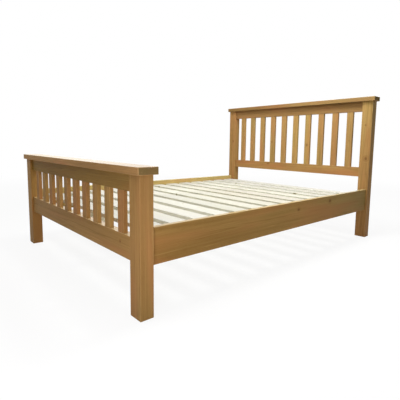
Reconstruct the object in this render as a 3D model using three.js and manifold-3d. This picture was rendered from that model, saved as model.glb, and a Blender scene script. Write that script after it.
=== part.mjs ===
// A solid timber bedstead for a mattress 1350 mm wide and 1900 mm long. A slatted headboard and
// footboard, each a mortised frame under a moulded cap, are drawn together by two side rails.
// Loose softwood slats lie across ledges on the side rails and over a centre rail on a leg.
// Millimetres. +X is to the right seen from the foot, +Y runs to the head, +Z is up, and the
// origin is on the floor under the middle of the bed.

import * as THREE from 'three';
import Module from 'manifold-3d';
import { mergeVertices } from 'three/addons/utils/BufferGeometryUtils.js';

const wasm = await Module();
wasm.setup();

// Clearances
const glueLine = 0.3;
const slatEndGap = 3;
const studClearance = 0.5;

// Space for the mattress
const betweenSideRails = 1396;
const betweenEnds = 1910;

// Posts
const postWidth = 78;
const postDepth = 62;
const footPostHeight = 578;
const headPostHeight = 1029;
const postTenonWidth = 44;
const postTenonDepth = 28;
const postTenonHeight = 14;

// Caps on the two ends
const capThickness = 31;
const capOverhang = 15;
const capCornerRadius = 6;
const capRounding = 3;

// Rails between the posts of one end
const endRailThickness = 38;
const footTopRailHeight = 73;
const footBottomRailHeight = 100;
const footBottomRailUnderside = 222;
const headTopRailHeight = 73;
const headLowerRailHeight = 72;
const headLowerRailUnderside = 461;
const headCrossRailHeight = 90;
const railTenonThickness = 14;
const railTenonLength = 30;
const railTenonShoulder = 12;

// Upright slats in the two ends
const uprightCount = 10;
const uprightWidth = 50;
const uprightThickness = 20;
const uprightSetback = 2;
const uprightTenonWidth = 34;
const uprightTenonThickness = 12;
const uprightTenonLength = 14;

// Side rails and the ledges on them
const sideRailThickness = 25;
const sideRailHeight = 155;
const sideRailUnderside = 213;
const sideRailSetback = 12;
const ledgeWidth = 28;
const ledgeHeight = 30;

// Slats of the base
const baseSlatCount = 13;
const baseSlatWidth = 98;
const baseSlatThickness = 20;
const baseSlatDrop = 35;
const footMargin = 45;
const headMargin = 15;

// Centre rail, its two steel cradles and its leg
const centreRailWidth = 35;
const centreRailHeight = 70;
const cradlePlate = 2.5;
const cradleReach = 40;
const cradleHeight = 50;
const cradleEar = 20;
const legWidth = 60;
const legDepth = 44;
const forkDepth = 40;

// Threaded stud and crescent nut at each corner
const studRadius = 4;
const studInPost = 38;
const studTip = 6;
const studRise = 37;
const nutPocketRadius = 19;
const nutPocketSetback = 60;
const nutThickness = 12;
const nutDepth = 11;

// Easing of the long edges of sawn timber
const arris = 2;

// Levels and places that several pieces share
const postSpan = betweenSideRails + 2 * (sideRailThickness + sideRailSetback);
const postInner = postSpan / 2 - postWidth;
const railBack = (postDepth + endRailThickness) / 2;
const railFront = (postDepth - endRailThickness) / 2;
const uprightMiddle = railFront + uprightSetback + uprightThickness / 2;
const sideRailInner = betweenSideRails / 2;
const sideRailMiddle = sideRailInner + sideRailThickness / 2;
const slatTop = sideRailUnderside + sideRailHeight - baseSlatDrop;
const slatUnderside = slatTop - baseSlatThickness;
const studLevel = sideRailUnderside + studRise;
const footBottomRailTop = footBottomRailUnderside + footBottomRailHeight;
const headLowerRailTop = headLowerRailUnderside + headLowerRailHeight;
const overallLength = betweenEnds + 2 * (postDepth + capOverhang);
const footFace = capOverhang - overallLength / 2;
const bayStart = footFace + postDepth;
const bayEnd = bayStart + betweenEnds;

const oak = new THREE.MeshStandardMaterial({ color: 0xb08248, roughness: 0.45, metalness: 0 });
const whitewood = new THREE.MeshStandardMaterial({ color: 0xefe4c6, roughness: 0.7, metalness: 0 });
const zincSteel = new THREE.MeshStandardMaterial({ color: 0xb9bec4, roughness: 0.35, metalness: 1 });

// A span is a pair of limits along one axis.
function span(middle, size) {
  return [middle - size / 2, middle + size / 2];
}

function grown(limits, margin) {
  return [limits[0] - margin, limits[1] + margin];
}

function ordered(one, other) {
  return [Math.min(one, other), Math.max(one, other)];
}

function mirroredSpan(side, limits) {
  return side > 0 ? limits : [-limits[1], -limits[0]];
}

function solidOf(geometry) {
  geometry.deleteAttribute('normal');
  geometry.deleteAttribute('uv');
  const merged = mergeVertices(geometry, 1e-4);
  return new wasm.Manifold(new wasm.Mesh({
    numProp: 3,
    vertProperties: Float32Array.from(merged.attributes.position.array),
    triVerts: Uint32Array.from(merged.index.array),
  }));
}

function geometryOf(solid) {
  const mesh = solid.getMesh();
  const geometry = new THREE.BufferGeometry();
  geometry.setAttribute('position', new THREE.BufferAttribute(mesh.vertProperties, 3));
  geometry.setIndex(new THREE.BufferAttribute(mesh.triVerts, 1));
  geometry.computeVertexNormals();
  return geometry;
}

function block(x, y, z) {
  const geometry = new THREE.BoxGeometry(x[1] - x[0], y[1] - y[0], z[1] - z[0]);
  geometry.translate((x[0] + x[1]) / 2, (y[0] + y[1]) / 2, (z[0] + z[1]) / 2);
  return solidOf(geometry);
}

function easedRectangle(width, depth) {
  const right = width / 2;
  const top = depth / 2;
  const shape = new THREE.Shape();
  shape.moveTo(right - arris, -top);
  shape.lineTo(right, -top + arris);
  shape.lineTo(right, top - arris);
  shape.lineTo(right - arris, top);
  shape.lineTo(-right + arris, top);
  shape.lineTo(-right, top - arris);
  shape.lineTo(-right, -top + arris);
  shape.lineTo(-right + arris, -top);
  shape.closePath();
  return shape;
}

// Planed timber: an eased section drawn out along the grain, with square-cut ends.
function timber(grain, x, y, z) {
  const size = [x[1] - x[0], y[1] - y[0], z[1] - z[0]];
  const sections = {
    x: [size[2], size[1], size[0]],
    y: [size[0], size[2], size[1]],
    z: [size[0], size[1], size[2]],
  };
  const [width, depth, length] = sections[grain];
  const geometry = new THREE.ExtrudeGeometry(easedRectangle(width, depth), {
    depth: length,
    bevelEnabled: false,
  });
  geometry.translate(0, 0, -length / 2);
  if (grain === 'x') {
    geometry.rotateY(Math.PI / 2);
  }
  if (grain === 'y') {
    geometry.rotateX(Math.PI / 2);
  }
  geometry.translate((x[0] + x[1]) / 2, (y[0] + y[1]) / 2, (z[0] + z[1]) / 2);
  return solidOf(geometry);
}

// A round bar lying along Y.
function rodAlongY(radius, x, y, z) {
  const geometry = new THREE.CylinderGeometry(radius, radius, y[1] - y[0], 20);
  geometry.translate(x, (y[0] + y[1]) / 2, z);
  return solidOf(geometry);
}

// A round bar lying along X.
function rodAlongX(radius, x, y, z) {
  const geometry = new THREE.CylinderGeometry(radius, radius, x[1] - x[0], 32);
  geometry.rotateZ(Math.PI / 2);
  geometry.translate((x[0] + x[1]) / 2, y, z);
  return solidOf(geometry);
}

function piece(name, geometry, material, x = 0, y = 0, z = 0) {
  const mesh = new THREE.Mesh(geometry, material);
  mesh.name = name;
  mesh.position.set(x, y, z);
  return mesh;
}

function numbered(stem, index) {
  return stem + '_' + String(index + 1).padStart(2, '0');
}

// In the frame of one end, y = 0 is the outer face of its posts on the foot side.
const endMiddle = postDepth / 2;
const railTenonY = span(endMiddle, railTenonThickness);

function railTenonZ(underside, height) {
  return [underside + railTenonShoulder, underside + height - railTenonShoulder];
}

// The rails of one end as [underside, height] pairs, from which their mortises are also cut.
const footRails = {
  top: [footPostHeight - footTopRailHeight, footTopRailHeight],
  bottom: [footBottomRailUnderside, footBottomRailHeight],
};
const headRails = {
  top: [headPostHeight - headTopRailHeight, headTopRailHeight],
  lower: [headLowerRailUnderside, headLowerRailHeight],
  cross: [slatUnderside - headCrossRailHeight, headCrossRailHeight],
};

// A post with a stub tenon for the cap, a mortise for each rail and a blind bore for the stud.
function post(side, height, rails, studFace) {
  const outer = postSpan / 2;
  const x = mirroredSpan(side, [postInner, outer]);
  const middle = side * (postInner + outer) / 2;
  const tenonTop = height + glueLine + postTenonHeight;
  let solid = timber('z', x, [0, postDepth], [0, height]);
  solid = solid.add(block(
    span(middle, postTenonWidth),
    span(endMiddle, postTenonDepth),
    [height - arris, tenonTop],
  ));
  for (const [underside, railHeight] of Object.values(rails)) {
    solid = solid.subtract(block(
      mirroredSpan(side, [postInner - arris, postInner + railTenonLength + glueLine]),
      grown(railTenonY, glueLine),
      grown(railTenonZ(underside, railHeight), glueLine),
    ));
  }
  const boreEnd = studFace > 0 ? postDepth - studInPost : studInPost;
  const boreMouth = studFace > 0 ? postDepth + arris : -arris;
  return solid.subtract(rodAlongY(
    studRadius + glueLine,
    side * sideRailMiddle,
    grown(ordered(boreEnd, boreMouth), glueLine),
    studLevel,
  ));
}

// Upright slats stand at equal gaps between the posts.
const uprightGap = (2 * postInner - uprightCount * uprightWidth) / (uprightCount + 1);

function uprightX(index) {
  return -postInner + uprightGap + uprightWidth / 2 + index * (uprightWidth + uprightGap);
}

// A rail with a tenon at each end and, on the edges named, a mortise for every upright slat.
function endRail([underside, height], mortisedEdges) {
  const half = postInner - glueLine;
  let solid = timber('x', [-half, half], [railFront, railBack], [underside, underside + height]);
  solid = solid.add(block(
    [-postInner - railTenonLength, postInner + railTenonLength],
    railTenonY,
    railTenonZ(underside, height),
  ));
  const depth = uprightTenonLength + glueLine;
  const cuts = {
    upper: [underside + height - depth, underside + height + arris],
    under: [underside - arris, underside + depth],
  };
  for (const edge of mortisedEdges) {
    for (let index = 0; index < uprightCount; index += 1) {
      solid = solid.subtract(block(
        grown(span(uprightX(index), uprightTenonWidth), glueLine),
        grown(span(uprightMiddle, uprightTenonThickness), glueLine),
        cuts[edge],
      ));
    }
  }
  return solid;
}

// One upright slat, centred on x = 0, with a tenon at each end.
function upright(lowerEdge, upperEdge) {
  const body = timber(
    'z',
    span(0, uprightWidth),
    span(uprightMiddle, uprightThickness),
    [lowerEdge + glueLine, upperEdge - glueLine],
  );
  return body.add(block(
    span(0, uprightTenonWidth),
    span(uprightMiddle, uprightTenonThickness),
    [lowerEdge - uprightTenonLength + glueLine, upperEdge + uprightTenonLength - glueLine],
  ));
}

// The cap: a board with rounded corners and edges, which overhangs the posts all round.
function cap(height) {
  const halfLength = postSpan / 2 + capOverhang - capRounding;
  const front = -capOverhang + capRounding;
  const back = postDepth + capOverhang - capRounding;
  const turn = capCornerRadius - capRounding;
  const shape = new THREE.Shape();
  shape.absarc(halfLength - turn, back - turn, turn, 0, Math.PI / 2, false);
  shape.absarc(-halfLength + turn, back - turn, turn, Math.PI / 2, Math.PI, false);
  shape.absarc(-halfLength + turn, front + turn, turn, Math.PI, 1.5 * Math.PI, false);
  shape.absarc(halfLength - turn, front + turn, turn, 1.5 * Math.PI, 2 * Math.PI, false);
  const geometry = new THREE.ExtrudeGeometry(shape, {
    depth: capThickness - 2 * capRounding,
    bevelThickness: capRounding,
    bevelSize: capRounding,
    bevelSegments: 3,
    curveSegments: 4,
  });
  geometry.translate(0, 0, height + glueLine + capRounding);
  let solid = solidOf(geometry);
  for (const side of [-1, 1]) {
    solid = solid.subtract(block(
      grown(span(side * (postInner + postWidth / 2), postTenonWidth), glueLine),
      grown(span(endMiddle, postTenonDepth), glueLine),
      [height - arris, height + postTenonHeight + 2 * glueLine],
    ));
  }
  return solid;
}

// Uprights of one end, from one rail's edge to the next.
function addUprights(group, stem, lowerEdge, upperEdge) {
  const geometry = geometryOf(upright(lowerEdge, upperEdge));
  for (let index = 0; index < uprightCount; index += 1) {
    group.add(piece(numbered(stem, index), geometry, oak, uprightX(index)));
  }
}

function footboard() {
  const group = new THREE.Group();
  group.add(piece('foot_post_left', geometryOf(post(-1, footPostHeight, footRails, 1)), oak));
  group.add(piece('foot_post_right', geometryOf(post(1, footPostHeight, footRails, 1)), oak));
  group.add(piece('foot_cap', geometryOf(cap(footPostHeight)), oak));
  group.add(piece('foot_top_rail', geometryOf(endRail(footRails.top, ['under'])), oak));
  group.add(piece('foot_bottom_rail', geometryOf(endRail(footRails.bottom, ['upper'])), oak));
  addUprights(group, 'foot_slat', footBottomRailTop, footRails.top[0]);
  return group;
}

function headboard() {
  const group = new THREE.Group();
  group.add(piece('head_post_left', geometryOf(post(-1, headPostHeight, headRails, -1)), oak));
  group.add(piece('head_post_right', geometryOf(post(1, headPostHeight, headRails, -1)), oak));
  group.add(piece('head_cap', geometryOf(cap(headPostHeight)), oak));
  group.add(piece('head_top_rail', geometryOf(endRail(headRails.top, ['under'])), oak));
  group.add(piece('head_lower_rail', geometryOf(endRail(headRails.lower, ['upper'])), oak));
  group.add(piece('head_cross_rail', geometryOf(endRail(headRails.cross, [])), oak));
  addUprights(group, 'head_slat', headLowerRailTop, headRails.top[0]);
  return group;
}

// The bore for the stud and the round pocket for its nut, at one end of a side rail.
function nutPocketY(end) {
  return end < 0 ? bayStart + nutPocketSetback : bayEnd - nutPocketSetback;
}

function sideRail(side) {
  const x = mirroredSpan(side, [sideRailInner, sideRailInner + sideRailThickness]);
  const pocketX = mirroredSpan(side, [
    sideRailInner - arris,
    sideRailMiddle + nutThickness / 2 + studClearance,
  ]);
  const z = [sideRailUnderside, sideRailUnderside + sideRailHeight];
  let solid = timber('y', x, [bayStart + glueLine, bayEnd - glueLine], z);
  for (const end of [-1, 1]) {
    const mouth = end < 0 ? bayStart - arris : bayEnd + arris;
    const pocket = nutPocketY(end);
    const bore = ordered(mouth, pocket);
    const boreRadius = studRadius + studClearance;
    solid = solid.subtract(rodAlongX(nutPocketRadius, pocketX, pocket, studLevel));
    solid = solid.subtract(rodAlongY(boreRadius, side * sideRailMiddle, bore, studLevel));
  }
  return solid;
}

// A ledge on the inner face of a side rail carries the ends of the slats.
function ledge(side) {
  return timber(
    'y',
    mirroredSpan(side, [sideRailInner - glueLine - ledgeWidth, sideRailInner - glueLine]),
    [bayStart + glueLine, bayEnd - glueLine],
    [slatUnderside - glueLine - ledgeHeight, slatUnderside - glueLine],
  );
}

// The crescent nut is the part of the pocket's round that lies nearest the post.
function crescentNut(side, end) {
  const pocket = nutPocketY(end);
  const radius = nutPocketRadius - glueLine;
  const x = mirroredSpan(side, span(sideRailMiddle, nutThickness));
  const chord = pocket + end * (radius - nutDepth);
  const beyond = pocket + end * (radius + arris);
  const y = ordered(chord, beyond);
  const z = span(studLevel, 2 * (radius + arris));
  const segment = rodAlongX(radius, x, pocket, studLevel).intersect(block(grown(x, arris), y, z));
  const bore = rodAlongY(studRadius + glueLine, side * sideRailMiddle, grown(y, arris), studLevel);
  return segment.subtract(bore);
}

// A stud is fast in the post and ends just past its nut.
function stud(side, end) {
  const postFace = end < 0 ? bayStart : bayEnd;
  const rootEnd = postFace + end * (studInPost - glueLine);
  const nutBack = nutPocketY(end) + end * (nutPocketRadius - glueLine - nutDepth);
  const tip = nutBack - end * studTip;
  return rodAlongY(studRadius, side * sideRailMiddle, ordered(rootEnd, tip), studLevel);
}

// Side rails, ledges and corner fittings.
function sides() {
  const group = new THREE.Group();
  for (const [sideName, side] of [['left', -1], ['right', 1]]) {
    group.add(piece('side_rail_' + sideName, geometryOf(sideRail(side)), oak));
    group.add(piece('slat_ledge_' + sideName, geometryOf(ledge(side)), whitewood));
    for (const [endName, end] of [['foot', -1], ['head', 1]]) {
      const place = endName + '_' + sideName;
      group.add(piece('stud_' + place, geometryOf(stud(side, end)), zincSteel));
      group.add(piece('crescent_nut_' + place, geometryOf(crescentNut(side, end)), zincSteel));
    }
  }
  return group;
}

// Slats lie at equal gaps between the two margins.
const slatRun = betweenEnds - footMargin - headMargin;
const slatPitch = (slatRun - baseSlatWidth) / (baseSlatCount - 1);

function slatY(index) {
  return bayStart + footMargin + baseSlatWidth / 2 + index * slatPitch;
}

const centreRailZ = [slatUnderside - glueLine - centreRailHeight, slatUnderside - glueLine];
const footSeatFace = footFace + railBack;
const headSeatFace = bayEnd + railFront;

// The centre rail runs from cradle to cradle.
function centreRail() {
  const endGap = cradlePlate + 2 * glueLine;
  return timber(
    'y',
    span(0, centreRailWidth),
    [footSeatFace + endGap, headSeatFace - endGap],
    centreRailZ,
  );
}

// A folded steel cradle: a plate with two ears against the end rail, and a trough for the rail.
function cradle(end) {
  const face = end < 0 ? footSeatFace : headSeatFace;
  const plateY = ordered(face - end * glueLine, face - end * (glueLine + cradlePlate));
  const troughY = ordered(face - end * glueLine, face - end * (glueLine + cradleReach));
  const inside = centreRailWidth / 2 + glueLine;
  const outside = inside + cradlePlate;
  const floorTop = centreRailZ[0] - glueLine;
  const z = [floorTop - cradlePlate, floorTop - cradlePlate + cradleHeight];
  const plate = block([-outside - cradleEar, outside + cradleEar], plateY, z);
  const trough = block([-outside, outside], troughY, z);
  const hollowY = end < 0 ? [plateY[1], troughY[1] + arris] : [troughY[0] - arris, plateY[0]];
  return plate.add(trough).subtract(block([-inside, inside], hollowY, [floorTop, z[1] + arris]));
}

// The leg stands under the middle of the centre rail and straddles it with a fork.
function centreLeg() {
  const body = timber('z', span(0, legWidth), span(0, legDepth), [0, centreRailZ[0] + forkDepth]);
  return body.subtract(block(
    grown(span(0, centreRailWidth), glueLine),
    span(0, legDepth + 2 * arris),
    [centreRailZ[0] - glueLine, centreRailZ[0] + forkDepth + arris],
  ));
}

function base() {
  const group = new THREE.Group();
  const length = betweenSideRails - 2 * slatEndGap;
  const slat = geometryOf(timber('x', span(0, length), span(0, baseSlatWidth), [slatUnderside, slatTop]));
  for (let index = 0; index < baseSlatCount; index += 1) {
    group.add(piece(numbered('base_slat', index), slat, whitewood, 0, slatY(index)));
  }
  group.add(piece('centre_rail', geometryOf(centreRail()), whitewood));
  group.add(piece('cradle_foot', geometryOf(cradle(-1)), zincSteel));
  group.add(piece('cradle_head', geometryOf(cradle(1)), zincSteel));
  group.add(piece('centre_leg', geometryOf(centreLeg()), whitewood, 0, (bayStart + bayEnd) / 2));
  return group;
}

const bed = new THREE.Group();
const foot = footboard();
foot.position.y = footFace;
bed.add(foot);
const head = headboard();
head.position.y = bayEnd;
bed.add(head);
bed.add(sides());
bed.add(base());

export default bed;
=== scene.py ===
import math
import random

import bmesh
import bpy
from mathutils import Matrix, Vector


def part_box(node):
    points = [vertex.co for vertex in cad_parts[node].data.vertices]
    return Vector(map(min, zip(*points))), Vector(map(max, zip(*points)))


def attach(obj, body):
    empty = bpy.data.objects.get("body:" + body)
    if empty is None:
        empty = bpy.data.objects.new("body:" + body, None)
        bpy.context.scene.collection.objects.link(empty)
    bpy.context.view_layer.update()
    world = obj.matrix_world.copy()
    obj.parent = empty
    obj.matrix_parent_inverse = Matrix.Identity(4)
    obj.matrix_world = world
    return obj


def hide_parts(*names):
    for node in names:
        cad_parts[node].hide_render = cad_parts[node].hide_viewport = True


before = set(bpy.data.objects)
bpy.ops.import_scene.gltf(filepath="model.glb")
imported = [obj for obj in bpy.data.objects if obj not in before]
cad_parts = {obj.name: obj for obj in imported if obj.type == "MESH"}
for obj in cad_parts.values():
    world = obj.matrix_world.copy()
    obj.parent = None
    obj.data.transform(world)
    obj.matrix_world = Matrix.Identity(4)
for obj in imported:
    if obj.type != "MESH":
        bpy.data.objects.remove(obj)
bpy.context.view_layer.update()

# Viewpoint
# The bed is seen from beyond its foot, off its right corner. The lens is 0.7 m above the
# floor, higher than the headboard's lower rail, and tipped slightly down.
camera = bpy.data.objects.new("viewpoint", bpy.data.cameras.new("viewpoint"))
bpy.context.scene.collection.objects.link(camera)
bpy.context.scene.camera = camera
turned_left = math.radians(47.885)
tipped_down = math.radians(6.487)
leaning = math.radians(0.808)
level = Matrix.Rotation(turned_left, 4, "Z") @ Matrix.Rotation(math.pi / 2 - tipped_down, 4, "X")
standpoint = Matrix.Translation((1.8623, -1.6917, 0.7000))
camera.matrix_world = standpoint @ level @ Matrix.Rotation(leaning, 4, "Z")
photo_width = 400
focal_pixels = 347.9
optical_centre = (208.0, 182.9)
camera.data.sensor_width = 36
camera.data.lens = camera.data.sensor_width * focal_pixels / photo_width
camera.data.shift_x = 0.5 - optical_centre[0] / photo_width
camera.data.shift_y = optical_centre[1] / photo_width - 0.5

# Headboard posts
# Two stout oak posts carry the headboard. Each is planed on four faces, with its long edges
# eased by hand. It has a mortise for every rail and a stub tenon on top that enters the cap.
X, Y, Z = 0, 1, 2
GLUE_LINE = 0.0003
SQUARE_ON = 0.99


def towards(axis, distance=1):
    """A shift of some distance along one axis."""
    shift = Vector((0, 0, 0))
    shift[axis] = distance
    return shift


def board(low, high):
    """A square-edged board between two opposite corners."""
    bm = bmesh.new()
    bm.faces.layers.float.new("worn")
    middle = (low + high) / 2
    size = Matrix.Diagonal((*(high - low), 1))
    bmesh.ops.create_cube(bm, size=1, matrix=Matrix.Translation(middle) @ size)
    return bm


def ease_edges(bm, edges, radius, steps=3):
    """Rounds some edges, and marks the new faces as the ones that hands and cloths wear."""
    worn = bm.faces.layers.float["worn"]
    rounded = bmesh.ops.bevel(
        bm, geom=edges, offset=radius, segments=steps, profile=0.5, affect="EDGES", material=-1
    )
    for face in rounded["faces"]:
        face[worn] = 1.0


def edges_along(bm, axis):
    """The edges of a board that run with its grain."""
    return [
        edge for edge in bm.edges
        if abs((edge.verts[0].co - edge.verts[1].co).normalized()[axis]) > SQUARE_ON
    ]


def extent(face, axis):
    """Where a face starts and ends along an axis."""
    places = [vert.co[axis] for vert in face.verts]
    return min(places), max(places)


def shape_face(bm, face, axis, low, high):
    """Fits a face to the rectangle that low and high give across the axis."""
    factors = Vector((1, 1, 1))
    shift = Vector((0, 0, 0))
    for across in {X, Y, Z} - {axis}:
        start, end = extent(face, across)
        factors[across] = (high[across] - low[across]) / (end - start)
        shift[across] = (low[across] + high[across] - start - end) / 2
    centre = face.calc_center_median()
    bmesh.ops.scale(bm, vec=factors, space=Matrix.Translation(-centre), verts=face.verts[:])
    bmesh.ops.translate(bm, vec=shift, verts=face.verts[:])


def draw_face(bm, face, axis, distance):
    """Draws a face out of the board, or sinks it into the board, along the axis."""
    drawn = bmesh.ops.extrude_discrete_faces(bm, faces=[face])["faces"][0]
    bmesh.ops.translate(bm, vec=towards(axis, distance), verts=drawn.verts[:])
    return drawn


def cut_tenon(bm, axis, sign, low, high):
    """Leaves a tenon, from low to high across the grain, on the end that looks along the axis."""
    rim = 0.002
    end = max(bm.faces, key=lambda face: sign * face.calc_center_median()[axis])
    shoulder = end.calc_center_median()[axis]
    bmesh.ops.inset_individual(bm, faces=[end], thickness=rim)
    shape_face(bm, end, axis, low, high)
    tip = high[axis] if sign > 0 else low[axis]
    draw_face(bm, end, axis, tip - shoulder)


def score_round(bm, axis, place):
    """Lays a ring of edges round the board at a place along the axis."""
    along = towards(axis)
    everything = bm.verts[:] + bm.edges[:] + bm.faces[:]
    bmesh.ops.bisect_plane(bm, geom=everything, plane_co=along * place, plane_no=along)


def cut_mortise(bm, grain, axis, sign, low, high):
    """Sinks a mortise from low to high into the face that looks along the axis."""
    rim, lip = 0.001, 0.0005
    for place in (low[grain] - rim, high[grain] + rim):
        score_round(bm, grain, place)
    middle = (low[grain] + high[grain]) / 2
    facing = []
    for face in bm.faces:
        start, end = extent(face, grain)
        if face.normal[axis] * sign > SQUARE_ON and start < middle < end:
            facing.append(face)
    mouth = max(facing, key=lambda face: face.calc_area())
    surface = mouth.calc_center_median()[axis]
    bmesh.ops.inset_individual(bm, faces=[mouth], thickness=lip)
    shape_face(bm, mouth, axis, low, high)
    floor = low[axis] if sign > 0 else high[axis]
    draw_face(bm, mouth, axis, floor - surface)


def face_round(bm, axis, sign, place):
    """The face that looks along the axis and has the place within it."""
    hair = 0.0001
    across = [other for other in (X, Y, Z) if other != axis]
    for face in bm.faces:
        level = abs(face.calc_center_median()[axis] - place[axis]) < hair
        if level and face.normal[axis] * sign > SQUARE_ON:
            reach = {other: extent(face, other) for other in across}
            if all(reach[other][0] < place[other] < reach[other][1] for other in across):
                return face


def bore(bm, axis, sign, mouth, radius, depth, sides):
    """Bores a round blind hole into the face that looks along the axis."""
    half_square = radius * 1.15
    for other in {X, Y, Z} - {axis}:
        for side in (-1, 1):
            face = face_round(bm, axis, sign, mouth)
            around = [face, *face.edges, *face.verts]
            line = mouth + towards(other, side * half_square)
            bmesh.ops.bisect_plane(bm, geom=around, plane_co=line, plane_no=towards(other))
    square = face_round(bm, axis, sign, mouth)
    border = square.edges[:]
    bmesh.ops.delete(bm, geom=[square], context="FACES_ONLY")
    parts = bmesh.ops.bisect_edges(bm, edges=border, cuts=sides // 4 - 1)["geom_split"]
    border = [part for part in parts if isinstance(part, bmesh.types.BMEdge)]
    outward = towards(axis, sign)
    seat = Matrix.Translation(mouth) @ outward.to_track_quat("Z", "Y").to_matrix().to_4x4()
    ring = bmesh.ops.create_circle(bm, segments=sides, radius=radius, matrix=seat)["verts"]
    rim = list({edge for vert in ring for edge in vert.link_edges})
    bmesh.ops.bridge_loops(bm, edges=border + rim)
    wall = bmesh.ops.extrude_edge_only(bm, edges=rim)["geom"]
    deep = [part for part in wall if isinstance(part, bmesh.types.BMVert)]
    bottom = [edge for edge in wall if isinstance(edge, bmesh.types.BMEdge)]
    bottom = [edge for edge in bottom if edge.verts[0] in deep and edge.verts[1] in deep]
    bmesh.ops.translate(bm, vec=-outward * depth, verts=deep)
    bmesh.ops.contextual_create(bm, geom=bottom)
    bm.normal_update()


class Wire:
    """A shader socket that takes part in arithmetic: each operator adds its Math node."""

    def __init__(self, finish, socket):
        self.finish = finish
        self.socket = socket

    def __add__(self, other):
        return self.finish.maths("ADD", self, other)

    __radd__ = __add__

    def __sub__(self, other):
        return self.finish.maths("SUBTRACT", self, other)

    def __rsub__(self, other):
        return self.finish.maths("SUBTRACT", other, self)

    def __mul__(self, other):
        return self.finish.maths("MULTIPLY", self, other)

    __rmul__ = __mul__

    def __truediv__(self, other):
        return self.finish.maths("DIVIDE", self, other)

    def __rtruediv__(self, other):
        return self.finish.maths("DIVIDE", other, self)


class Finish:
    """A material in the making, with one method that adds any node."""

    def __init__(self, name):
        self.material = bpy.data.materials.new(name)
        self.material.use_nodes = True
        self.tree = self.material.node_tree
        self.surface = self.tree.nodes["Principled BSDF"]

    def feed(self, socket, value):
        if isinstance(value, Wire):
            self.tree.links.new(value.socket, socket)
        else:
            socket.default_value = value

    def node(self, kind, settings=None, inputs=None, output=0):
        node = self.tree.nodes.new("ShaderNode" + kind)
        for name, value in (settings or {}).items():
            if name == "stops":
                ramp = node.color_ramp.elements
                while len(ramp) < len(value):
                    ramp.new(1.0)
                for stop, (position, level) in zip(ramp, value):
                    stop.position = position
                    stop.color = (level, level, level, 1)
            else:
                setattr(node, name, value)
        for name, value in (inputs or {}).items():
            self.feed(node.inputs[name], value)
        return Wire(self, node.outputs[output])

    def maths(self, operation, *values, clamp=False):
        settings = {"operation": operation, "use_clamp": clamp}
        return self.node("Math", settings, dict(enumerate(values)))

    def attribute(self, name, output="Fac"):
        return self.node("Attribute", {"attribute_name": name}, output=output)

    def stretched(self, place, factors):
        return self.node("VectorMath", {"operation": "MULTIPLY"}, {0: place, 1: factors})

    def length(self, place):
        return self.node("VectorMath", {"operation": "LENGTH"}, {0: place}, output="Value")

    def upward(self):
        """1 on the faces that look up and 0 on the rest. It sets the lacquer coat and where
        painted light goes.
        """
        leaning, flat = 0.6, 0.95
        normal = self.node("NewGeometry", output="Normal")
        height = self.node("SeparateXYZ", None, {0: normal}, output="Z")
        return self.step(height, leaning, flat)

    def noise(self, place, factors, detail=2.0):
        """Noise with so many waves to the metre along each axis."""
        inputs = {"Vector": self.stretched(place, factors), "Scale": 1.0, "Detail": detail}
        return self.node("TexNoise", None, inputs, output="Fac")

    def step(self, value, start, end):
        """Rises smoothly from 0 at start to 1 at end, or falls where end is the lower."""
        inputs = {"Value": value, "From Min": start, "From Max": end}
        return self.node("MapRange", {"interpolation_type": "SMOOTHSTEP"}, inputs)

    def mix(self, factor, one, other):
        return self.node("Mix", {"data_type": "RGBA"}, {0: factor, 6: one, 7: other}, output=2)

    def bump(self, relief, strength, distance):
        inputs = {"Strength": strength, "Distance": distance, "Height": relief}
        return self.node("Bump", None, inputs, output="Normal")

    def with_tone_and_painted_light(self, colour):
        """The colour of one board among the others, with any light or shade painted on it, as its
        vertex attribute holds.
        """
        return self.stretched(colour, self.attribute("stain", "Vector"))

    def set(self, **inputs):
        for name, value in inputs.items():
            self.feed(self.surface.inputs[name.replace("_", " ")], value)


def growth_rings(finish, ring_width):
    """Distance from the heart of the tree, counted in rings, bent a little and round knots."""
    wander, ripple_depth, swelling_depth = 0.02, 0.0016, 0.006
    grain = finish.attribute("grain", "Vector")
    knot = finish.maths(
        "MINIMUM",
        finish.length(finish.attribute("knot_one", "Vector")),
        finish.length(finish.attribute("knot_two", "Vector")),
    )
    bend = finish.noise(grain, (1.3, 7, 7), 3) - 0.5
    ripple = finish.noise(grain, (5, 45, 45)) - 0.5
    swelling = finish.step(knot, 3.2, 0.6)
    heart = finish.length(finish.stretched(grain, (0, 1, 1)))
    waves = heart + bend * wander + ripple * ripple_depth + swelling * swelling_depth
    return grain, knot, waves / ring_width


def late_wood(finish, rings):
    """Each ring darkens slowly towards its outer edge and then stops short."""
    least, most = 0.45, 1.2
    phase = finish.maths("FRACT", rings)
    stops = [(0.0, 0.45), (0.07, 0.05), (0.5, 0.12), (0.9, 1.0), (1.0, 0.5)]
    edge = finish.node("ValToRGB", {"stops": stops}, {"Fac": phase})
    year = finish.node(
        "TexWhiteNoise", {"noise_dimensions": "1D"}, {"W": finish.maths("FLOOR", rings)}
    )
    return edge * (least + (most - least) * year)


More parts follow.
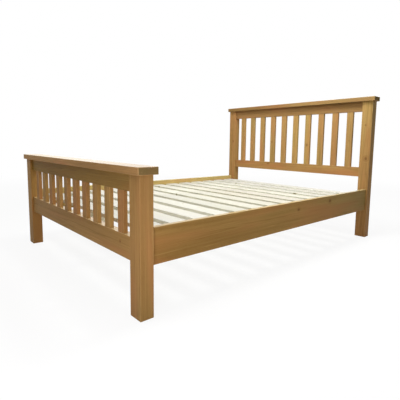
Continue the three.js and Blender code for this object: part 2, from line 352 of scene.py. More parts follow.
def oak_finish():
    """Oak of a warm golden brown under satin lacquer."""
    spring_wood = (0.50, 0.29, 0.103, 1)
    summer_wood = (0.225, 0.114, 0.033, 1)
    rosy_wood = (0.42, 0.185, 0.070, 1)
    sawn_end = (0.12, 0.103, 0.035, 1)
    rubbed_edge = (0.52, 0.33, 0.14, 1)
    painted_top_light = (0.72, 0.55, 0.28, 1)
    knot_halo = (0.25, 0.11, 0.036, 1)
    knot_core = (0.10, 0.042, 0.018, 1)

    finish = Finish("lacquered_oak")
    grain, knot, rings = growth_rings(finish, ring_width=0.0036)
    late = late_wood(finish, rings)
    fibres = finish.noise(grain, (9, 620, 620), 3)
    pores = finish.step(finish.noise(grain, (38, 1500, 1500), 1), 0.60, 0.70)
    broad = finish.noise(grain, (0.9, 11, 11), 2)
    streak = finish.noise(grain, (1.6, 60, 60), 2)
    rosy = finish.noise(grain, (2.2, 14, 14), 1)
    ray = finish.noise(grain, (3.2, 120, 120), 2)
    fleck = finish.step(ray, 0.66, 0.78)
    pale = finish.step(ray, 0.33, 0.22)
    worn = finish.attribute("worn")
    end_grain = finish.attribute("end_grain")

    depth = late * 0.3 + (fibres - 0.5) * 0.4 + (streak - 0.5) * 0.6 + (broad - 0.5) * 0.8 + 0.39
    depth = finish.maths("ADD", depth, pores * 0.22 + fleck * 0.35 - pale * 0.5, clamp=True)
    colour = finish.mix(depth, spring_wood, summer_wood)
    colour = finish.mix(finish.step(rosy, 0.42, 0.75) * 0.75, colour, rosy_wood)
    colour = finish.mix(end_grain * 0.6, colour, sawn_end)
    colour = finish.mix(worn * 0.3, colour, rubbed_edge)
    # Painted light: faces that look up are painted paler and yellower, standing in for the light
    # that falls on them.
    colour = finish.mix(finish.upward() * 0.6, colour, painted_top_light)
    halo = finish.step(knot, 2.6, 0.8) * 0.5
    core = finish.step(knot, 1.15, 0.55)
    heart_lines = finish.maths("FRACT", knot * 4.0) * 0.3
    colour = finish.mix(halo, colour, knot_halo)
    colour = finish.mix(core * (0.65 - heart_lines), colour, knot_core)
    colour = finish.with_tone_and_painted_light(colour)

    relief = fibres * 0.5 + late * 0.25 - pores * 0.6 - core * 0.4
    bump = finish.bump(relief, strength=0.35, distance=0.0005)
    roughness = 0.36 + fibres * 0.14 + pores * 0.12 + end_grain * 0.2
    lacquer = finish.upward() * 0.8
    finish.set(Base_Color=colour, Roughness=roughness, Normal=bump, Specular_IOR_Level=0.03)
    finish.set(Coat_Weight=lacquer, Coat_Roughness=0.16)
    return finish.material


OAK = oak_finish()


def mark_end_grain(bm, grain):
    """End grain shows on the faces that look along the grain."""
    nearly_along = 0.9
    layer = bm.faces.layers.float.new("end_grain")
    for face in bm.faces:
        face[layer] = 1.0 if abs(face.normal[grain]) > nearly_along else 0.0


def lay_grain(mesh, node, grain, knots, ring_lean, shades, shaded):
    """Each board is sawn from its own place in a tree, which its attributes hold.

    grain runs along the board and away from the tree's heart. A knot is a branch that goes
    through the thickness: (place along, place across, radius), from the board's middle.
    The shades are spread evenly from the low end of the shaded axis to its high end. Each is
    how light the board is there, then how much green and blue its brown holds: its own tone,
    and on some boards painted light and shade.
    """
    heart_off_middle, heart_behind = 0.8, (0.03, 0.08)
    longest_lot = 60
    shade_spread = 0.7
    knotty_share, knot_spread, pin_knot = 0.15, (0.42, 0.7), 0.004
    far_knot = (0, 10, 0.01)
    branch_stretch = 1.35
    lightening, tinting = 0.12, 0.1

    sawing = random.Random(node)
    low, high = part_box(node)
    middle = (low + high) / 2
    width, thickness = sorted({X, Y, Z} - {grain}, key=lambda axis: low[axis] - high[axis])
    half_width = (high[width] - low[width]) / 2
    heart = {
        width: sawing.uniform(-heart_off_middle, heart_off_middle) * half_width,
        thickness: sawing.choice((-1, 1)) * sawing.uniform(*heart_behind),
    }
    lean = {axis: sawing.uniform(-1, 1) * ring_lean for axis in (width, thickness)}
    lot = sawing.uniform(0, longest_lot)
    any_shade = [sawing.uniform(-shade_spread, shade_spread) for part in ("light", "cast")]
    if not knots and sawing.random() < knotty_share:
        reach = (high[grain] - low[grain]) * knot_spread[0]
        knot_along = sawing.uniform(-reach, reach)
        knot_across = sawing.uniform(-knot_spread[1], knot_spread[1]) * half_width
        knots = [(knot_along, knot_across, pin_knot)]
    knots = (list(knots) + [far_knot, far_knot])[:2]
    columns = {name: [] for name in ("grain", "knot_one", "knot_two", "stain")}
    tones = []
    for light, *cast in shades or (any_shade, any_shade):
        tint = Vector([1 + tinting * part for part in (0, cast[0], cast[-1])])
        tones.append(tint * (1 + lightening * light))
    for vert in mesh.vertices:
        place = vert.co - middle
        along = place[grain]
        columns["grain"] += [
            along + lot,
            place[width] - heart[width] + lean[width] * along,
            place[thickness] - heart[thickness] + lean[thickness] * along,
        ]
        for name, (knot_along, knot_across, radius) in zip(("knot_one", "knot_two"), knots):
            columns[name] += [
                (along - knot_along) / radius / branch_stretch,
                (place[width] - knot_across) / radius,
                0.0,
            ]
        share = place[shaded] / (high[shaded] - low[shaded]) + 0.5
        spot = share * (len(tones) - 1)
        before = min(int(spot), len(tones) - 2)
        columns["stain"] += list(tones[before].lerp(tones[before + 1], spot - before))
    for name, column in columns.items():
        mesh.attributes.new(name, "FLOAT_VECTOR", "POINT").data.foreach_set("vector", column)


def turn_outwards(bm):
    """Every face looks out of the solid: its volume then comes out above zero."""
    bmesh.ops.recalc_face_normals(bm, faces=bm.faces[:])
    if bm.calc_volume(signed=True) < 0:
        bmesh.ops.reverse_faces(bm, faces=bm.faces[:])


def fit_piece(bm, name, node, finish):
    """Makes the finished piece from its bmesh, puts it in place of its node and lets it ride."""
    crease = math.radians(35)
    mesh = bpy.data.meshes.new(name)
    turn_outwards(bm)
    for face in bm.faces:
        face.smooth = True
    bm.to_mesh(mesh)
    bm.free()
    mesh.set_sharp_from_angle(angle=crease)
    mesh.materials.append(finish)
    piece = bpy.data.objects.new(name, mesh)
    bpy.context.scene.collection.objects.link(piece)
    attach(piece, "root")
    if node:
        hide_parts(node)
    return piece


def timber_piece(
    bm, node, grain, finish, slot, knots=(), shades=None, shaded=None, ring_lean=0.012
):
    """A finished board. Weighted normals keep its broad faces flat beside the eased edges."""
    shaded = grain if shaded is None else shaded
    start, end = (corner[shaded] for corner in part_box(node))
    steps = len(shades or ()) - 1
    for step in range(1, steps):
        score_round(bm, shaded, start + (end - start) * step / steps)
    bm.normal_update()
    mark_end_grain(bm, grain)
    piece = fit_piece(bm, slot + "_" + node, node, finish)
    lay_grain(piece.data, node, grain, knots, ring_lean, shades, shaded)
    flat = piece.modifiers.new("flat_faces", "WEIGHTED_NORMAL")
    flat.keep_sharp = True


def grown(low, high, axes):
    """The corners of a hollow that clears a tenon by the glue line across the given axes."""
    play = Vector([GLUE_LINE if axis in axes else 0 for axis in (X, Y, Z)])
    return low - play, high + play


TENON_THICKNESS = 0.014
TENON_SHOULDER = 0.012


def rail_tenon(rail):
    """The corners of the long tenon core of an end rail, from post to post."""
    low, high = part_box(rail)
    middle = (low.y + high.y) / 2
    half = TENON_THICKNESS / 2
    core_low = Vector((low.x, middle - half, low.z + TENON_SHOULDER))
    core_high = Vector((high.x, middle + half, high.z - TENON_SHOULDER))
    return core_low, core_high


def upright_tenon(node, size, bottom, top):
    """The corners of a tenon that stands in the middle of a node, between two levels."""
    low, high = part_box(node)
    middle = (low + high) / 2
    half = Vector(size) / 2
    tenon_low = Vector((middle.x - half.x, middle.y - half.y, bottom))
    tenon_high = Vector((middle.x + half.x, middle.y + half.y, top))
    return tenon_low, tenon_high


POST_TENON = (0.044, 0.028, 0.014)
POST_EDGE = 0.0018
STUD_SIDES = 12


def post_top(node):
    """The level of a post's shoulder, on which its cap rests."""
    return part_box(node)[1].z - POST_TENON[2] - GLUE_LINE


def make_post(node, rails, knots, shades):
    """A post with a stub tenon on top, a mortise for each rail and a bore for its stud."""
    low, high = (Vector(corner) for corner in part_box(node))
    tenon_top = high.z
    high.z = post_top(node)
    side = 1 if low.x > 0 else -1
    bm = board(low, high)
    foot = min(bm.faces, key=lambda face: face.calc_center_median().z)
    ease_edges(bm, edges_along(bm, Z) + foot.edges[:], POST_EDGE)
    cut_tenon(bm, Z, 1, *upright_tenon(node, POST_TENON, high.z, tenon_top))
    for rail in rails:
        cut_mortise(bm, Z, X, -side, *grown(*rail_tenon(rail), {X, Y, Z}))
    end_name, _, side_name = node.split("_")
    stud_low, stud_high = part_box(f"stud_{end_name}_{side_name}")
    inward = 1 if low.y < 0 else -1
    stud_end = stud_low.y if inward > 0 else stud_high.y
    stud_mouth = (stud_low + stud_high) / 2
    stud_mouth.y = high.y if inward > 0 else low.y
    stud_radius = (stud_high.z - stud_low.z) / 2 + GLUE_LINE
    stud_depth = abs(stud_mouth.y - stud_end) + GLUE_LINE
    bm.normal_update()
    bore(bm, Y, inward, stud_mouth, stud_radius, stud_depth, STUD_SIDES)
    timber_piece(bm, node, Z, OAK, "oak", knots, shades)


HEAD_RAILS = ("head_top_rail", "head_lower_rail", "head_cross_rail")
left_post_knots = [(0.205, 0.013, 0.006), (0.48, -0.004, 0.004)]
make_post("head_post_left", HEAD_RAILS, left_post_knots, [(0.6, 0.4), (0.8, 0.4)])
right_post_knots = [(0.08, 0.01, 0.009), (0.331, -0.006, 0.004)]
make_post("head_post_right", HEAD_RAILS, right_post_knots, [(0.5, -0.8, 0.3), (0.7, 1.6, 1.4)])

# Rails of the headboard
# Three rails are tenoned between the posts: the top and the lower one hold the slats, and a
# plain one under the base slats ties the posts and carries the centre rail.
SLAT_TENON = (0.034, 0.012, 0.014)
RAIL_EDGE = 0.0015


def slat_mortises(bm, slats, rail_low, rail_high, side):
    """Mortises for the slats in the rail's upper edge, side 1, or its lower edge, side -1."""
    edge = rail_high.z if side > 0 else rail_low.z
    floor = edge - side * (SLAT_TENON[2] + GLUE_LINE)
    for slat in slats:
        tenon = upright_tenon(slat, SLAT_TENON, min(edge, floor), max(edge, floor))
        cut_mortise(bm, X, Z, side, *grown(*tenon, {X, Y}))


def make_end_rail(node, post, slats=(), slat_side=1, knots=(), shades=None):
    """A rail between the posts, tenoned at both ends and mortised for any slats."""
    low, high = (Vector(corner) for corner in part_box(node))
    shoulder = abs(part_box(post)[0].x) - GLUE_LINE
    low.x, high.x = -shoulder, shoulder
    bm = board(low, high)
    ease_edges(bm, edges_along(bm, X), RAIL_EDGE)
    for sign in (-1, 1):
        cut_tenon(bm, X, sign, *rail_tenon(node))
    slat_mortises(bm, slats, low, high, slat_side)
    timber_piece(bm, node, X, OAK, "oak", knots, shades)


HEAD_SLATS = [f"head_slat_{number:02d}" for number in range(1, 11)]
# Painted shade: the head top rail is painted darker towards its right end, standing in for shade
# under the cap.
head_top_painted_shade = [(0.2, 0, 1), (-1.5, 0.5, 1.5)]
make_end_rail("head_top_rail", "head_post_right", HEAD_SLATS, -1, shades=head_top_painted_shade)
lower_knots = [(-0.226, 0.02, 0.005)]
lower_shades = [(0.3, -0.2), (1.0, 0.4)]
make_end_rail("head_lower_rail", "head_post_right", HEAD_SLATS, 1, lower_knots, lower_shades)
make_end_rail("head_cross_rail", "head_post_right")

# Headboard slats
# Ten flat slats stand between the two upper rails, each with a shouldered tenon at both ends.
# They are glued in as the frame is clamped up, so nothing fixes them that shows.
UPRIGHT_SLAT_EDGE = 0.0015


def make_upright_slat(node, upper_rail, lower_rail, knots, shade):
    """A slat between two rails, with a tenon at both ends."""
    low, high = (Vector(corner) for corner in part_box(node))
    tenon = upright_tenon(node, SLAT_TENON, low.z, high.z)
    low.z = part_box(lower_rail)[1].z + GLUE_LINE
    high.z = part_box(upper_rail)[0].z - GLUE_LINE
    bm = board(low, high)
    ease_edges(bm, edges_along(bm, Z), UPRIGHT_SLAT_EDGE)
    for sign in (-1, 1):
        cut_tenon(bm, Z, sign, *tenon)
    timber_piece(bm, node, Z, OAK, "oak", knots, [shade, shade])


head_slat_knots = {
    2: [(-0.21, 0.01, 0.004)],
    7: [(-0.047, 0.0, 0.006)],
    10: [(-0.01, 0.004, 0.003)],
}
head_slat_shades = [
    (1.1, 0.6), (0.6, 1.6), (1.2, 0.9), (0.9, 1.4), (1.2, 1.7),
    (1.6, 2.1, 1.5), (1.3, 2.0, 1.5), (1.0, 1.3), (0.3, 0.9), (0.6, 0.9, 1.3),
]
for number, slat in enumerate(HEAD_SLATS, 1):
    knots = head_slat_knots.get(number, ())
    shade = head_slat_shades[number - 1]
    make_upright_slat(slat, "head_top_rail", "head_lower_rail", knots, shade)

# Caps
# A stout board lies along the top of each end and overhangs its posts all round. Its
# corners and edges are rounded over, and its underside takes the posts' stub tenons.
CAP_CORNER = 0.0035
CAP_EDGE = 0.0022
CAP_STEPS = 4


def make_cap(node, posts, shades):
    """A rounded board on two posts, with a mortise for the stub tenon of each."""
    low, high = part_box(node)
    bm = board(low, high)
    ease_edges(bm, edges_along(bm, Z), CAP_CORNER, CAP_STEPS)
    upright = edges_along(bm, Z)
    level = [edge for edge in bm.edges if edge not in upright]
    ease_edges(bm, level, CAP_EDGE, CAP_STEPS)
    for post in posts:
        tenon = upright_tenon(post, POST_TENON, low.z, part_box(post)[1].z)
        cut_mortise(bm, X, Z, -1, *grown(*tenon, {X, Y}))
    timber_piece(bm, node, X, OAK, "oak", shades=shades)


make_cap("head_cap", ("head_post_left", "head_post_right"), [(-1.6, 0.4), (-0.9, 1.3, 2.6)])

# Footboard
# The footboard is a lower headboard: the same posts, cap and slats, with a deeper bottom rail
# at the level of the side rails.
FOOT_RAILS = ("foot_top_rail", "foot_bottom_rail")
FOOT_SLATS = [f"foot_slat_{number:02d}" for number in range(1, 11)]
make_post("foot_post_left", FOOT_RAILS, (), [(-0.5, 0.5, 0), (1.2, -0.5, -2)])
# Painted shade: the near foot post is painted darker near the floor and under the cap, and
# lighter between.
near_post_painted_shade = [(-1.1, 0.4), (0.6, -0.3, 0.2), (-0.2, 0.2, 0.5)]
make_post("foot_post_right", FOOT_RAILS, (), near_post_painted_shade)
# Painted shade: the foot top rail is painted darker, standing in for the shadow under the cap's
# overhang.
foot_top_painted_shade = [(-2.0, 0, -5), (-1.6, 0.4, -1.0)]
make_end_rail("foot_top_rail", "foot_post_right", FOOT_SLATS, -1, shades=foot_top_painted_shade)
bottom_shades = [(0.9, 0.2), (0, 0)]
make_end_rail("foot_bottom_rail", "foot_post_right", FOOT_SLATS, 1, shades=bottom_shades)
usual_shade, light_shade, light_slats = (0, 0.2, 0.3), (0.8, 0.2, 0.3), (4, 8, 9)
for number, slat in enumerate(FOOT_SLATS, 1):
    shade = light_shade if number in light_slats else usual_shade
    make_upright_slat(slat, "foot_top_rail", "foot_bottom_rail", (), shade)
foot_cap_shades = [(2.0, 0.2, 0.4), (0.7, -0.1, 1.6)]
make_cap("foot_cap", ("foot_post_left", "foot_post_right"), foot_cap_shades)

# Side rails
# A deep oak board on each side joins the two ends. Near each end its inner face has a round
# pocket, from which a bore runs out to the post, for the fitting that pulls the joint tight.
SIDE_RAIL_EDGE = 0.002
POCKET_RADIUS, POCKET_PLAY, POCKET_SIDES = 0.019, 0.0005, 32
STUD_BORE = 0.0045


def make_side_rail(node, knots, shades, shaded=Y):
    """A side rail with a pocket and a bore near each end."""
    low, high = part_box(node)
    inward = 1 if low.x < 0 else -1
    bm = board(low, high)
    ease_edges(bm, edges_along(bm, Y), SIDE_RAIL_EDGE)
    for end, end_name in ((-1, "foot"), (1, "head")):
        corner = end_name + node.removeprefix("side_rail")
        nut_low, nut_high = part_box("crescent_nut_" + corner)
        middle = (nut_low + nut_high) / 2
        nut_back = nut_high.y if end > 0 else nut_low.y
        inner_face = high.x if inward > 0 else low.x
        floor = nut_low.x if inward > 0 else nut_high.x
        pocket = Vector((inner_face, nut_back - end * (POCKET_RADIUS - GLUE_LINE), middle.z))
        pocket_depth = abs(inner_face - floor) + POCKET_PLAY
        bm.normal_update()
        bore(bm, X, inward, pocket, POCKET_RADIUS, pocket_depth, POCKET_SIDES)
        rail_end = Vector((middle.x, high.y if end > 0 else low.y, middle.z))
        web = abs(rail_end.y - nut_back) - 2 * GLUE_LINE
        bore(bm, Y, end, rail_end, STUD_BORE, web, STUD_SIDES)
    timber_piece(bm, node, Y, OAK, "oak", knots, shades, shaded, ring_lean=0.006)


# Painted light: the left rail's inner face is painted much paler and yellower than its outer
# face.
outer_shade, inner_painted_light = (0.3, 0.1), (3.6, 3.4, 4.4)
make_side_rail("side_rail_left", (), [outer_shade, inner_painted_light], shaded=X)
right_rail_knots = [(0.423, 0.045, 0.010), (0.063, 0.029, 0.008)]
# Painted light: the near rail is painted lighter in its middle and darker towards the head, where
# less light reaches it.
right_rail_painted_light = [(-0.4, 0, -1.0), (1.0, 0.7, 0.2), (-1.1, 2.0, 1.8)]
make_side_rail("side_rail_right", right_rail_knots, right_rail_painted_light)

# Base slats, ledges and centre rail
# The slats and what carries them are bare softwood, pale and knotty. Their faces that do not
# look up are painted paler than their tops, as painted light. They are cut square, with only
# their sharp edges taken off.
SOFTWOOD_EDGE = 0.0018
SOFTWOOD_STEPS = 2


def softwood_finish():
    """Unfinished whitewood with honey-coloured rings, painted paler where faces do not look up,
    as painted light.
    """
    spring_top, summer_top = (0.74, 0.70, 0.625, 1), (0.63, 0.575, 0.42, 1)
    spring_painted_side, summer_painted_side = (0.98, 0.95, 0.81, 1), (0.84, 0.77, 0.56, 1)
    sawn_end = (0.50, 0.36, 0.20, 1)
    knot_halo, knot_core = (0.58, 0.52, 0.24, 1), (0.22, 0.19, 0.08, 1)

    finish = Finish("bare_softwood")
    grain, knot, rings = growth_rings(finish, ring_width=0.0048)
    late = late_wood(finish, rings)
    fibres = finish.noise(grain, (7, 500, 500), 3)
    broad = finish.noise(grain, (0.8, 9, 9), 2)
    streak = finish.noise(grain, (1.5, 70, 70), 2)
    end_grain = finish.attribute("end_grain")

    depth = late * 0.42 + (fibres - 0.5) * 0.25 + (streak - 0.5) * 0.45 + (broad - 0.5) * 0.4
    depth = finish.maths("ADD", depth, 0.2, clamp=True)
    top_colour = finish.mix(depth, spring_top, summer_top)
    painted_side_light = finish.mix(depth, spring_painted_side, summer_painted_side)
    # Painted light: the faces that do not look up take a paler copy of the colour than the tops.
    colour = finish.mix(finish.upward(), painted_side_light, top_colour)
    colour = finish.mix(end_grain * 0.35, colour, sawn_end)
    halo = finish.step(knot, 2.1, 0.9) * 0.4
    core = finish.step(knot, 1.05, 0.8)
    colour = finish.mix(halo, colour, knot_halo)
    colour = finish.mix(core * 0.85, colour, knot_core)
    colour = finish.with_tone_and_painted_light(colour)

    bump = finish.bump(fibres * 0.6 + late * 0.4, strength=0.4, distance=0.0006)
    finish.set(Base_Color=colour, Roughness=0.62 + fibres * 0.2, Normal=bump, IOR=1.45)
    return finish.material


SOFTWOOD = softwood_finish()


def make_softwood(node, grain, knots=(), shades=None):
    """A plain board with all its edges taken off."""
    bm = board(*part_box(node))
    ease_edges(bm, bm.edges[:], SOFTWOOD_EDGE, SOFTWOOD_STEPS)
    timber_piece(bm, node, grain, SOFTWOOD, "whitewood", knots, shades)


BASE_SLATS = [f"base_slat_{number:02d}" for number in range(1, 14)]
base_slat_knots = {
    4: [(0.21, 0.02, 0.004)],
    6: [(-0.15, -0.047, 0.005)],
    7: [(-0.59, -0.047, 0.006)],
    11: [(0.364, -0.043, 0.011), (-0.31, 0.01, 0.004)],
    12: [(-0.384, -0.047, 0.006)],
}
foot_lightness, lightness_lost, least_lightness = 0.9, 0.25, -0.55
warmest_slat, whiteness_gained, green_share = 8, 0.2, 0.4
stacking = random.Random(13)
for number, slat in enumerate(BASE_SLATS, 1):
    lighter = max(foot_lightness - lightness_lost * number, least_lightness)
    whiter = abs(number - warmest_slat) * whiteness_gained
    shades = []
    for end in ("left", "right"):
        light = stacking.uniform(-0.5, 0.4) + lighter
        green = stacking.uniform(0, 0.3) + whiter * green_share
        shades.append((light, green, whiter))
    make_softwood(slat, X, base_slat_knots.get(number, ()), shades)
for side_name in ("left", "right"):
    make_softwood("slat_ledge_" + side_name, Y)
make_softwood("centre_rail", Y)

# Centre leg
# A softwood leg stands under the middle of the centre rail. A fork sawn in its top straddles
# the rail, and all its edges but the two inside corners of the fork are taken off.


def make_leg():
    """The leg's outline with its fork, drawn out to its thickness."""
    least_turn = 0.1
    low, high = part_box("centre_leg")
    rail_low, rail_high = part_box("centre_rail")
    cheek = rail_high.x + GLUE_LINE
    fork_floor = rail_low.z - GLUE_LINE
    outline = [
        (low.x, low.z), (high.x, low.z), (high.x, high.z), (cheek, high.z),
        (cheek, fork_floor), (-cheek, fork_floor), (-cheek, high.z), (low.x, high.z),
    ]
    bm = bmesh.new()
    bm.faces.layers.float.new("worn")
    face = bm.faces.new([bm.verts.new((x, low.y, z)) for x, z in outline])
    drawn = bmesh.ops.extrude_face_region(bm, geom=[face])["geom"]
    far = [part for part in drawn if isinstance(part, bmesh.types.BMVert)]
    bmesh.ops.translate(bm, vec=(0, high.y - low.y, 0), verts=far)
    turn_outwards(bm)
    outer = [edge for edge in bm.edges if edge.calc_face_angle_signed() > least_turn]
    ease_edges(bm, outer, SOFTWOOD_EDGE, SOFTWOOD_STEPS)
    timber_piece(bm, "centre_leg", Z, SOFTWOOD, "whitewood")


make_leg()

# Steel fittings
# Folded cradles hang the centre rail on the end rails. In every corner a threaded stud in the
# post and a crescent nut in the rail's pocket pull the joint tight. All are zinc-plated.


def zinc_finish():
    """Dull zinc plate with a fine spangle, scuffed in the handling."""
    dull_zinc, bright_zinc = (0.56, 0.58, 0.60, 1), (0.72, 0.73, 0.72, 1)
    finish = Finish("zinc_plate")
    place = finish.node("TexCoord", output="Object")
    spangle = finish.noise(place, (220, 220, 220), 2)
    scuff = finish.noise(place, (30, 30, 400), 2)
    colour = finish.mix(spangle, dull_zinc, bright_zinc)
    bump = finish.bump(scuff, strength=0.2, distance=0.0003)
    finish.set(Base_Color=colour, Roughness=0.3 + scuff * 0.2, Normal=bump, Metallic=1.0)
    return finish.material


ZINC = zinc_finish()
for node, cad_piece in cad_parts.items():
    if node.startswith(("cradle", "stud", "crescent_nut")):
        cad_piece.data.materials.clear()
        cad_piece.data.materials.append(ZINC)

# Screws
# Zinc-plated countersunk screws with crossed recesses hold every slat to its ledges, the ledges
# to the side rails and the cradles to the end rails. Their heads lie all but flush.
SCREW_SIDES = 12
SCREW_PROFILE = (
    (0.0004, -0.022), (0.0016, -0.018), (0.0016, -0.003), (0.0040, 0.0), (0.0034, 0.0003),
)
CROSS_ARM, CROSS_DEPTH, CROSS_TAPER = (0.0006, 0.0022), 0.0014, 0.7


def screw_template():
    """One screw at the origin, head up, drawn out ring by ring (radius, level) from its point.

    A cross is sunk in the middle of the head.
    """
    bm = bmesh.new()
    radius, level = SCREW_PROFILE[0]
    point = Matrix.Translation((0, 0, level))
    ring = bmesh.ops.create_circle(
        bm, cap_ends=True, segments=SCREW_SIDES, radius=radius, matrix=point
    )["verts"]
    edges = list({edge for vert in ring for edge in vert.link_edges})
    for wider, higher in SCREW_PROFILE[1:]:
        drawn = bmesh.ops.extrude_edge_only(bm, edges=edges)["geom"]
        verts = [part for part in drawn if isinstance(part, bmesh.types.BMVert)]
        edges = [
            part for part in drawn
            if isinstance(part, bmesh.types.BMEdge) and all(vert in verts for vert in part.verts)
        ]
        bmesh.ops.translate(bm, vec=(0, 0, higher - level), verts=verts)
        bmesh.ops.scale(bm, vec=(wider / radius, wider / radius, 1), verts=verts)
        radius, level = wider, higher
    narrow, long = CROSS_ARM
    quarter = [(long, -narrow), (long, narrow), (narrow, narrow)]
    corners = []
    for turn in range(4):
        spun = Matrix.Rotation(turn * math.pi / 2, 3, "Z")
        corners += [spun @ Vector((x, y, level)) for x, y in quarter]
    cross = bm.faces.new([bm.verts.new(corner) for corner in corners])
    rim = cross.edges[:]
    bmesh.ops.bridge_loops(bm, edges=edges + rim)
    sunk = draw_face(bm, cross, Z, -CROSS_DEPTH)
    bmesh.ops.scale(bm, vec=(CROSS_TAPER, CROSS_TAPER, 1), verts=sunk.verts[:])
    turn_outwards(bm)
    mesh = bpy.data.meshes.new("screw_template")
    bm.to_mesh(mesh)
    bm.free()
    return mesh


SCREW = screw_template()


def drive_screws(name, places, outward):
    """One piece with a screw at every place. Each cross stops at its own angle."""
    driving = random.Random(name)
    bm = bmesh.new()
    facing = Vector(outward).to_track_quat("Z", "Y").to_matrix().to_4x4()
    for place in places:
        known = len(bm.verts)
        bm.from_mesh(SCREW)
        bm.verts.ensure_lookup_table()
        turned = Matrix.Rotation(driving.uniform(0, math.pi / 2), 4, "Z")
        seat = Matrix.Translation(place) @ facing @ turned
        bmesh.ops.transform(bm, matrix=seat, verts=bm.verts[known:])
    fit_piece(bm, name, None, ZINC)


SLAT_SCREW_INSET = 0.0125
slat_places = []
for slat in BASE_SLATS:
    low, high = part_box(slat)
    for end_x in (low.x + SLAT_SCREW_INSET, high.x - SLAT_SCREW_INSET):
        slat_places.append((end_x, (low.y + high.y) / 2, high.z))
drive_screws("slat_screws", slat_places, (0, 0, 1))

LEDGE_SCREW_INSET = 0.06
SCREWS_EACH_WAY = 3
for side_name, inward in (("left", 1), ("right", -1)):
    low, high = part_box("slat_ledge_" + side_name)
    face_x = high.x if inward > 0 else low.x
    level = (low.z + high.z) / 2
    pitch = (high.y - LEDGE_SCREW_INSET) / SCREWS_EACH_WAY
    steps = range(-SCREWS_EACH_WAY, SCREWS_EACH_WAY + 1)
    ledge_places = [(face_x, pitch * step, level) for step in steps]
    drive_screws("ledge_screws_" + side_name, ledge_places, (inward, 0, 0))

CRADLE_PLATE = 0.0025
CRADLE_EAR = 0.020
CRADLE_SCREW_INSET = 0.013
for end_name, inward in (("foot", 1), ("head", -1)):
    low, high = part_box("cradle_" + end_name)
    plate_y = low.y + CRADLE_PLATE if inward > 0 else high.y - CRADLE_PLATE
    ears = (low.x + CRADLE_EAR / 2, high.x - CRADLE_EAR / 2)
    levels = (low.z + CRADLE_SCREW_INSET, high.z - CRADLE_SCREW_INSET)
    cradle_places = [(x, plate_y, level) for x in ears for level in levels]
    drive_screws("cradle_screws_" + end_name, cradle_places, (0, inward, 0))
bpy.data.meshes.remove(SCREW)

# Studio
# A pale floor under a white surround. Soft lamps stand near the viewpoint, before the foot and
# beside both rails, hang over the bed, brightest over the head, and fill in from behind.
WHITE = (1, 1, 1, 1)
FLOOR_REACH = 40


def sight_ray(finish):
    """1 where the eye, a mirror or a clear pane meets the surface, and 0 for light that lands."""
    path = finish.node("LightPath", output="Is Camera Ray")
    gloss = finish.node("LightPath", output="Is Glossy Ray")
    clear = finish.node("LightPath", output="Is Transmission Ray")
    return finish.maths("MAXIMUM", path, finish.maths("MAXIMUM", gloss, clear))


def studio_floor():
    """A floor that keeps a faint shadow near the bed and is plain white further off."""
    floor_tone = (0.66, 0.64, 0.58, 1)
    shadow_near, shadow_gone = 1.5, 6.0
    least_white = 0.89
    finish = Finish("studio_floor")
    seen = sight_ray(finish)
    colour = finish.mix(seen, floor_tone, WHITE)
    finish.set(Base_Color=colour, Roughness=0.9, Specular_IOR_Level=0.1)
    place = finish.node("TexCoord", output="Object")
    far = finish.step(finish.length(place), shadow_near, shadow_gone)
    whiteness = seen * (least_white + (1 - least_white) * far)
    glow = finish.node("Emission", None, {"Color": WHITE, "Strength": 1.0})
    lit = Wire(finish, finish.surface.outputs["BSDF"])
    mixed = finish.node("MixShader", None, {0: whiteness, 1: lit, 2: glow})
    finish.feed(finish.tree.nodes["Material Output"].inputs["Surface"], mixed)
    bm = bmesh.new()
    bmesh.ops.create_grid(bm, x_segments=1, y_segments=1, size=FLOOR_REACH)
    mesh = bpy.data.meshes.new("studio_floor")
    bm.to_mesh(mesh)
    bm.free()
    mesh.materials.append(finish.material)
    floor = bpy.data.objects.new("studio_floor", mesh)
    bpy.context.scene.collection.objects.link(floor)


class Surround(Finish):
    """The world's nodes in the making, added by the same methods as a material's."""

    def __init__(self, name):
        world = bpy.data.worlds.new(name)
        bpy.context.scene.world = world
        world.use_nodes = True
        self.tree = world.node_tree


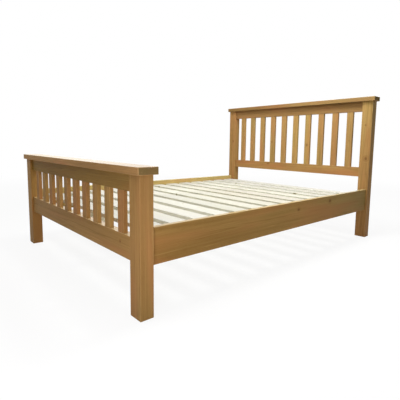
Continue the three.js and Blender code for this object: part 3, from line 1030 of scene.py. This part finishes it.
def studio_world(strength):
    """A surround that looks white and sheds a weak warm light."""
    warm_white = (1.0, 0.98, 0.93, 1)
    surround = Surround("studio")
    sky = surround.tree.nodes["Background"]
    surround.feed(sky.inputs["Color"], warm_white)
    surround.feed(sky.inputs["Strength"], strength)
    light = Wire(surround, sky.outputs["Background"])
    white = surround.node("Background", None, {"Color": WHITE, "Strength": 1.0})
    mixed = surround.node("MixShader", None, {0: sight_ray(surround), 1: light, 2: white})
    surround.feed(surround.tree.nodes["World Output"].inputs["Surface"], mixed)


def soft_light(name, place, target, size, power):
    """A lamp as wide and high as its size, turned to its target and unseen itself."""
    lamp = bpy.data.lights.new(name, "AREA")
    lamp.shape = "RECTANGLE"
    lamp.size, lamp.size_y = size
    lamp.energy = power
    holder = bpy.data.objects.new(name, lamp)
    bpy.context.scene.collection.objects.link(holder)
    direction = Vector(target) - Vector(place)
    aim = direction.to_track_quat("-Z", "Y").to_matrix().to_4x4()
    holder.matrix_world = Matrix.Translation(place) @ aim
    holder.visible_camera = False


studio_floor()
studio_world(strength=0.12)
soft_light("beside_viewpoint", (1.25, -1.5, 0.38), (0.7, -0.98, 0.36), (0.5, 0.5), 3.5)
soft_light("beside_the_rail", (2.2, -0.5, 0.6), (0.72, -0.2, 0.3), (0.8, 0.5), 3.0)
soft_light("before_the_foot", (-0.2, -2.1, 2.6), (-0.2, -1.0, 0.3), (1.2, 0.8), 15.5)
soft_light("above_viewpoint", (2.4, -2.6, 2.6), (0.3, -0.2, 0.4), (1.4, 1.4), 15)
soft_light("over_the_head", (0.5, 0.25, 2.4), (0.4, 0.9, 0.6), (0.6, 0.6), 37)
soft_light("over_the_slats", (-0.15, 0.1, 0.52), (-0.7, 0.1, 0.48), (1.3, 0.12), 0.8)
soft_light("over_the_foot", (0.2, -0.75, 2.2), (0.1, -0.55, 0.3), (0.9, 0.9), 9.5)
soft_light("overhead", (0, 0.2, 3.0), (0, 0.2, 0), (2.2, 2.2), 3.5)
soft_light("left_side", (-3.4, 0, 2.5), (0, 0, 0.3), (2.4, 1.6), 28)
soft_light("behind", (0, 3.4, 2.2), (0, 0, 0.3), (2.5, 1.6), 30)

bpy.context.scene.view_settings.view_transform = "Standard"
